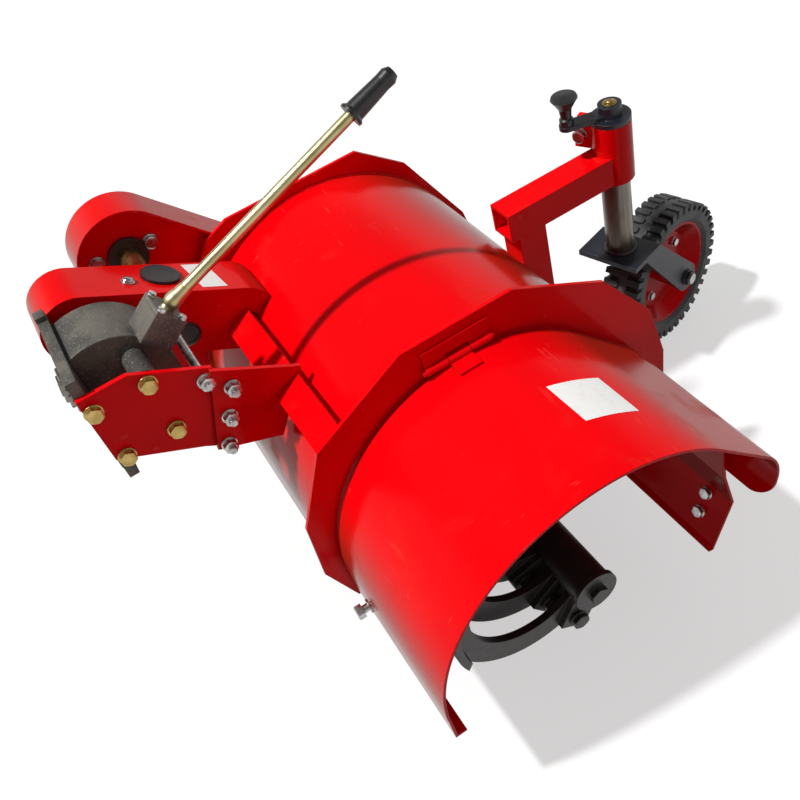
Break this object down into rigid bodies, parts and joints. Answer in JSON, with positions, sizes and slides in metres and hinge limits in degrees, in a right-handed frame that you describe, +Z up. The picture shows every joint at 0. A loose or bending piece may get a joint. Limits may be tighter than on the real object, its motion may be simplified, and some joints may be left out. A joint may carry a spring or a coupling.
{
  "type": "rotary tiller",
  "caption": "Red towed rotary tiller with a hinged side hood, C-shaped tines on a driven rotor, a cast gearbox with shift lever and a sliding tail wheel",
  "frame": {"origin": "on the ground, under the middle of the part's box", "axes": "+X across the machine to the side hood, +Y to the rear where the tail wheel is, +Z up"},
  "size_m": [0.6776, 0.9288, 0.6277],
  "materials": {
    "paint_red": "glossy enamel, scuffed",
    "cast_iron": "rough sand casting, dark",
    "zinc_steel": "zinc plated",
    "bare_steel": "bare drawn tube",
    "black_paint": "satin black",
    "black_plastic": "matte black",
    "tyre_rubber": "dusty black rubber"
  },
  "bodies": {
    "frame": {"main_hood": "paint_red", "end_plate_near": "paint_red", "end_plate_far": "paint_red", "front_beam": "paint_red", "chain_case": "paint_red", "chain_cover": "paint_red", "gear_arm": "paint_red", "side_plate": "paint_red", "bracket_plate": "paint_red", "hinge_fixed": "paint_red", "wheel_mast": "paint_red", "wheel_beam": "paint_red", "post_sleeve": "paint_red", "gearbox_housing": "cast_iron", "gearbox_flange": "cast_iron", "shift_box": "cast_iron", "shift_cover": "cast_iron", "rotor_bearing": "cast_iron", "cross_shaft": "zinc_steel", "shift_lever": "zinc_steel", "tie_stud": "zinc_steel", "hinge_pin": "zinc_steel", "shaft_bearing": "black_paint", "oil_plug": "black_plastic", "lever_grip": "black_plastic"},
    "rotor": {"rotor_reel": "black_paint", "rotor_cap": "black_paint"},
    "side_cover": {"side_hood": "paint_red", "side_skirt": "paint_red", "hinge_moving": "paint_red"},
    "wheel_leg": {"sliding_post": "bare_steel", "wheel_fork": "black_paint", "wheel_axle": "zinc_steel", "crank": "black_paint", "crank_knob": "black_plastic"},
    "tail_wheel": {"wheel_rim": "paint_red", "tyre": "tyre_rubber"},
    "gear": {"input_gear": "zinc_steel"}
  },
  "joints": [
    {"name": "rotor_spin", "type": "hinge", "parent": "frame", "child": "rotor", "pos_m": [-0.08575, -0.09537, 0.18581], "axis": [1, 0, 0], "continuous": true},
    {"name": "side_cover_hinge", "type": "hinge", "parent": "frame", "child": "side_cover", "pos_m": [0.11225, -0.09537, 0.39581], "axis": [0, -1, 0], "range_deg": [0, 90]},
    {"name": "wheel_leg_slide", "type": "slide", "parent": "frame", "child": "wheel_leg", "axis": [0, 0, 1], "range_m": [0, 0.07]},
    {"name": "tail_wheel_spin", "type": "hinge", "parent": "wheel_leg", "child": "tail_wheel", "pos_m": [-0.11265, 0.35261, 0.108], "axis": [0.9563, 0.2924, 0], "continuous": true},
    {"name": "input_gear_spin", "type": "hinge", "parent": "frame", "child": "gear", "pos_m": [-0.09475, -0.41737, 0.44381], "axis": [1, 0, 0], "continuous": true}
  ]
}
